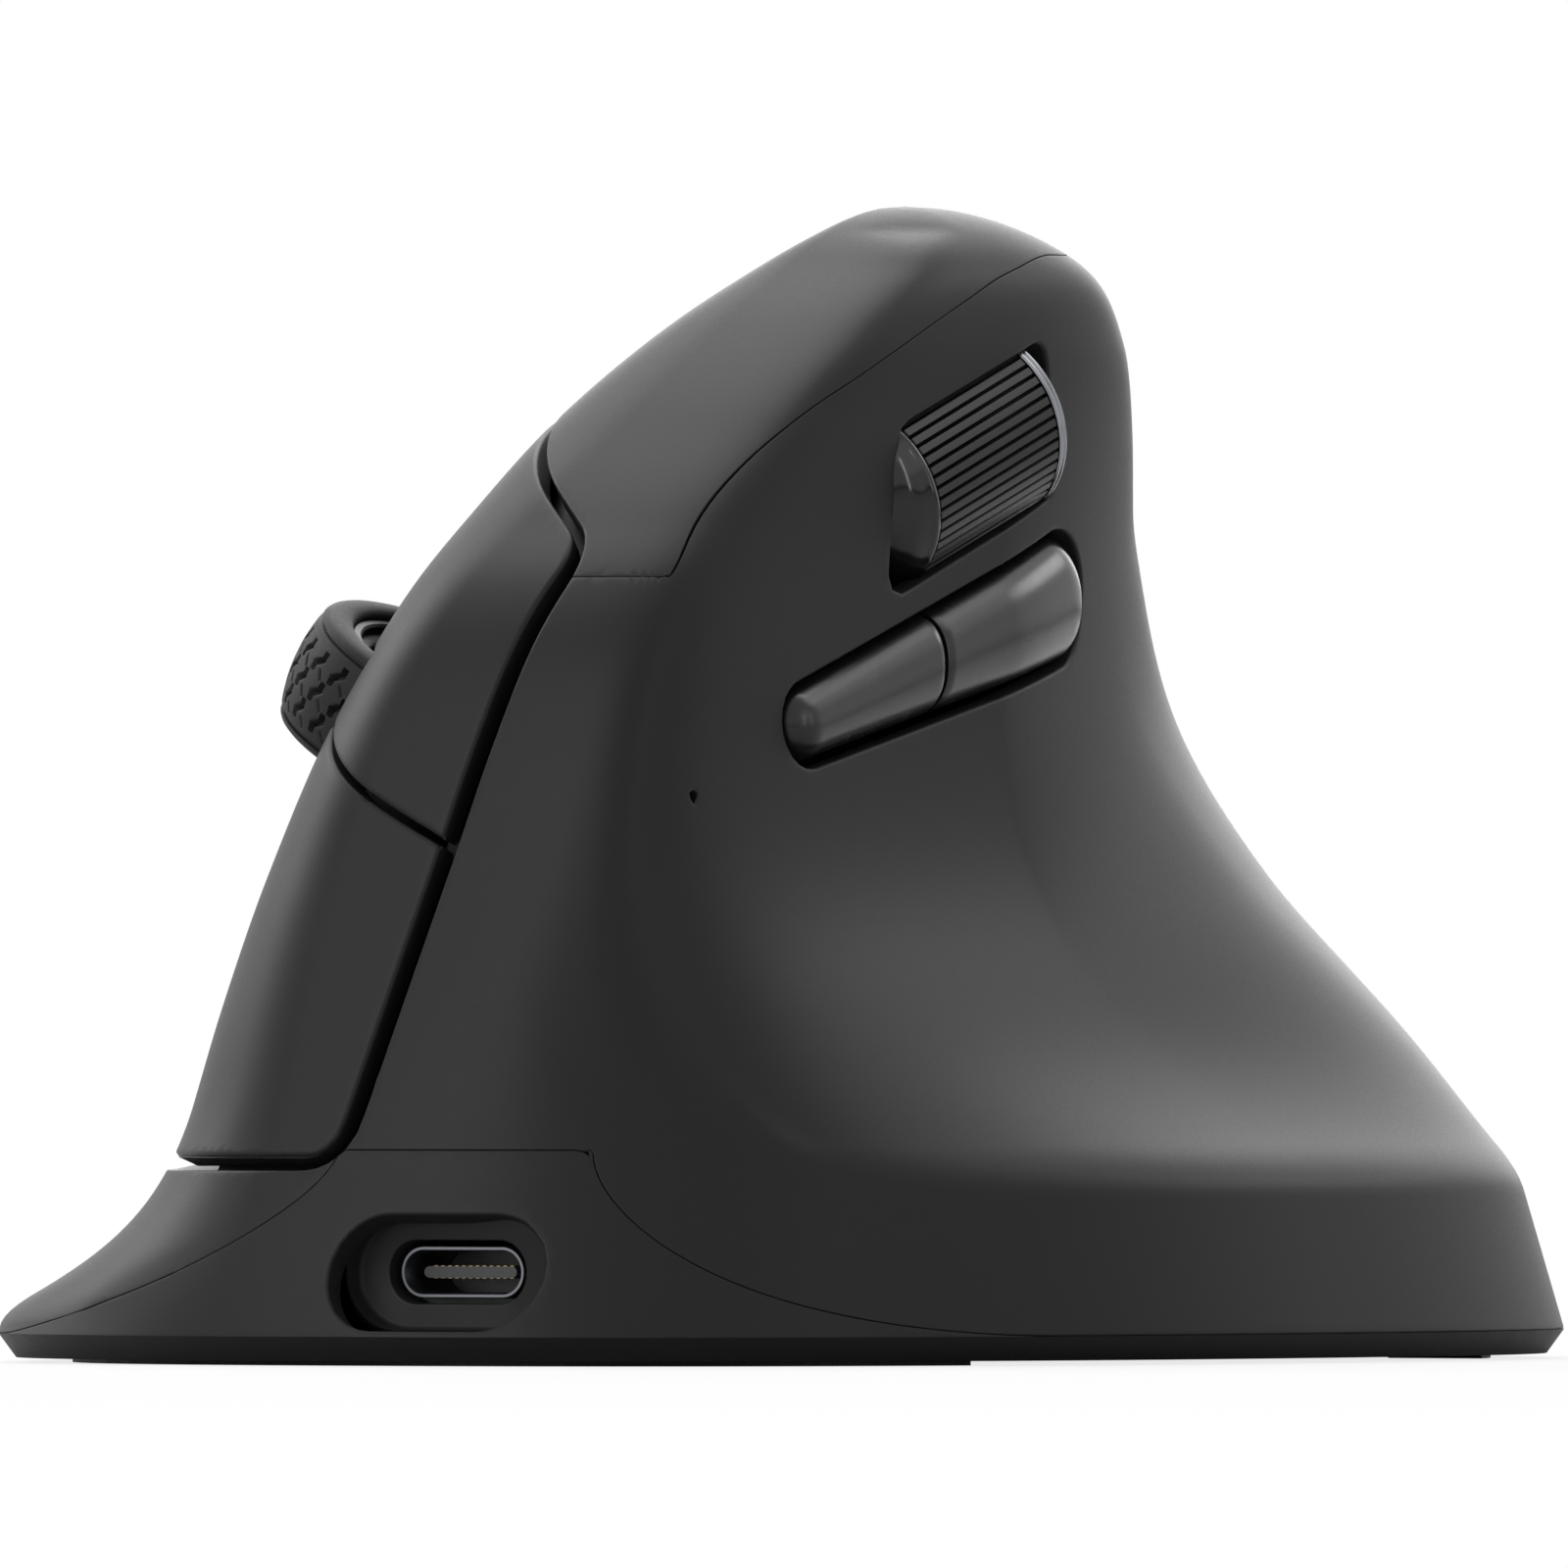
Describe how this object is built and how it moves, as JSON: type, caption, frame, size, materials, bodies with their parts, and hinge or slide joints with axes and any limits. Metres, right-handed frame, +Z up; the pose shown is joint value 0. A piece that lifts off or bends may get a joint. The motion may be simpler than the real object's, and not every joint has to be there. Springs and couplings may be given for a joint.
{
  "type": "vertical ergonomic mouse",
  "caption": "Upright right-hand computer mouse: a lofted housing on a flared base, with hinged main buttons, a scroll wheel, a thumb roller, thumb buttons and a charging port.",
  "frame": {"origin": "middle of the base on the desk, under the glide feet", "axes": "+X to the thumb side, -Y to the front with the charging port, +Z up"},
  "size_m": [0.083, 0.112, 0.0713],
  "materials": {
    "shell_black": "fine matte",
    "shell_dark": "fine matte",
    "shell_top": "fine matte",
    "button_plastic": "fine matte",
    "side_plastic": "satin",
    "tyre_rubber": "matte",
    "hub_plastic": "matte",
    "pin_steel": "plain",
    "frame_plastic": "matte",
    "switch_plastic": "matte",
    "plunger_plastic": "matte",
    "board_laminate": "satin",
    "roller_plastic": "matte",
    "roller_gloss": "gloss",
    "roller_bright": "bright",
    "clear_plastic": "clear",
    "port_steel": "plain",
    "port_plastic": "matte",
    "battery_wrap": "satin",
    "foot_plastic": "smooth",
    "control_plastic": "matte"
  },
  "bodies": {
    "shell": {"bottom_case": "shell_black", "finger_skirt": "shell_dark", "thumb_cover": "shell_dark", "top_cover": "shell_top", "inner_frame": "frame_plastic", "wheel_holder": "frame_plastic", "wheel_encoder": "switch_plastic", "middle_switch": "switch_plastic", "left_switch": "switch_plastic", "right_switch": "switch_plastic", "finger_board": "board_laminate", "hinge_pin": "pin_steel", "roller_axle": "pin_steel", "roller_bracket": "frame_plastic", "side_board": "board_laminate", "side_switches": "switch_plastic", "light_pipe": "clear_plastic", "indicator_led": "clear_plastic", "main_board": "board_laminate", "usb_shell": "port_steel", "usb_tongue": "port_plastic", "optical_sensor": "switch_plastic", "sensor_lens": "clear_plastic", "battery": "battery_wrap", "front_foot": "foot_plastic", "back_foot": "foot_plastic", "power_switch": "switch_plastic", "pair_switch": "switch_plastic", "case_screws": "pin_steel", "board_screws": "pin_steel"},
    "left_button": {"left_click_button": "button_plastic"},
    "right_button": {"right_click_button": "button_plastic"},
    "left_plunger": {"left_plunger": "plunger_plastic"},
    "right_plunger": {"right_plunger": "plunger_plastic"},
    "wheel_axle": {"scroll_axle": "pin_steel"},
    "wheel": {"scroll_tyre": "tyre_rubber", "scroll_hub": "hub_plastic"},
    "roller": {"roller_barrel": "roller_plastic", "roller_cap": "roller_gloss", "roller_ring": "roller_bright"},
    "forward_key": {"forward_button": "side_plastic"},
    "back_key": {"back_button": "side_plastic"},
    "power_knob": {"power_slider": "control_plastic"},
    "pair_key": {"pair_button": "control_plastic"}
  },
  "joints": [
    {"name": "left_click", "type": "hinge", "parent": "shell", "child": "left_button", "pos_m": [-0.00892, 0.016, 0.04014], "axis": [0.4765, 0, 0.8792], "range_deg": [0, 0.6], "stiffness_Nm_per_rad": 1.5, "springref_deg": -1.15},
    {"name": "right_click", "type": "hinge", "parent": "shell", "child": "right_button", "pos_m": [-0.00892, 0.016, 0.04014], "axis": [0.4765, 0, 0.8792], "range_deg": [0, 0.6], "stiffness_Nm_per_rad": 1.5, "springref_deg": -1.15},
    {"name": "left_plunger_slide", "type": "slide", "parent": "shell", "child": "left_plunger", "axis": [0.8792, 0, -0.4765], "range_m": [0, 0.00033]},
    {"name": "right_plunger_slide", "type": "slide", "parent": "shell", "child": "right_plunger", "axis": [0.8792, 0, -0.4765], "range_m": [0, 0.00033]},
    {"name": "wheel_click", "type": "slide", "parent": "shell", "child": "wheel_axle", "axis": [0.8792, 0, -0.4765], "range_m": [0, 0.0005], "stiffness_N_per_m": 1500, "springref_m": -0.0003},
    {"name": "wheel_spin", "type": "hinge", "parent": "wheel_axle", "child": "wheel", "pos_m": [-0.0076, -0.0275, 0.03942], "axis": [0.4765, 0, 0.8792], "continuous": true},
    {"name": "roller_spin", "type": "hinge", "parent": "shell", "child": "roller", "pos_m": [0.01242, -0.0063, 0.055], "axis": [0, 0.95, 0.3123], "continuous": true},
    {"name": "forward_press", "type": "slide", "parent": "shell", "child": "forward_key", "axis": [-1, 0, 0], "range_m": [0, 0.0005], "stiffness_N_per_m": 1500, "springref_m": -0.0003},
    {"name": "back_press", "type": "slide", "parent": "shell", "child": "back_key", "axis": [-1, 0, 0], "range_m": [0, 0.0005], "stiffness_N_per_m": 1500, "springref_m": -0.0003},
    {"name": "power_slide", "type": "slide", "parent": "shell", "child": "power_knob", "axis": [0, 1, 0], "range_m": [0, 0.003]},
    {"name": "pair_press", "type": "slide", "parent": "shell", "child": "pair_key", "axis": [0, 0, 1], "range_m": [0, 0.00025], "stiffness_N_per_m": 1500, "springref_m": -0.0003}
  ],
  "couplings": [
    {"joint": "left_plunger_slide", "follows": "left_click", "m_per_rad": 0.0315},
    {"joint": "right_plunger_slide", "follows": "right_click", "m_per_rad": 0.0315}
  ]
}
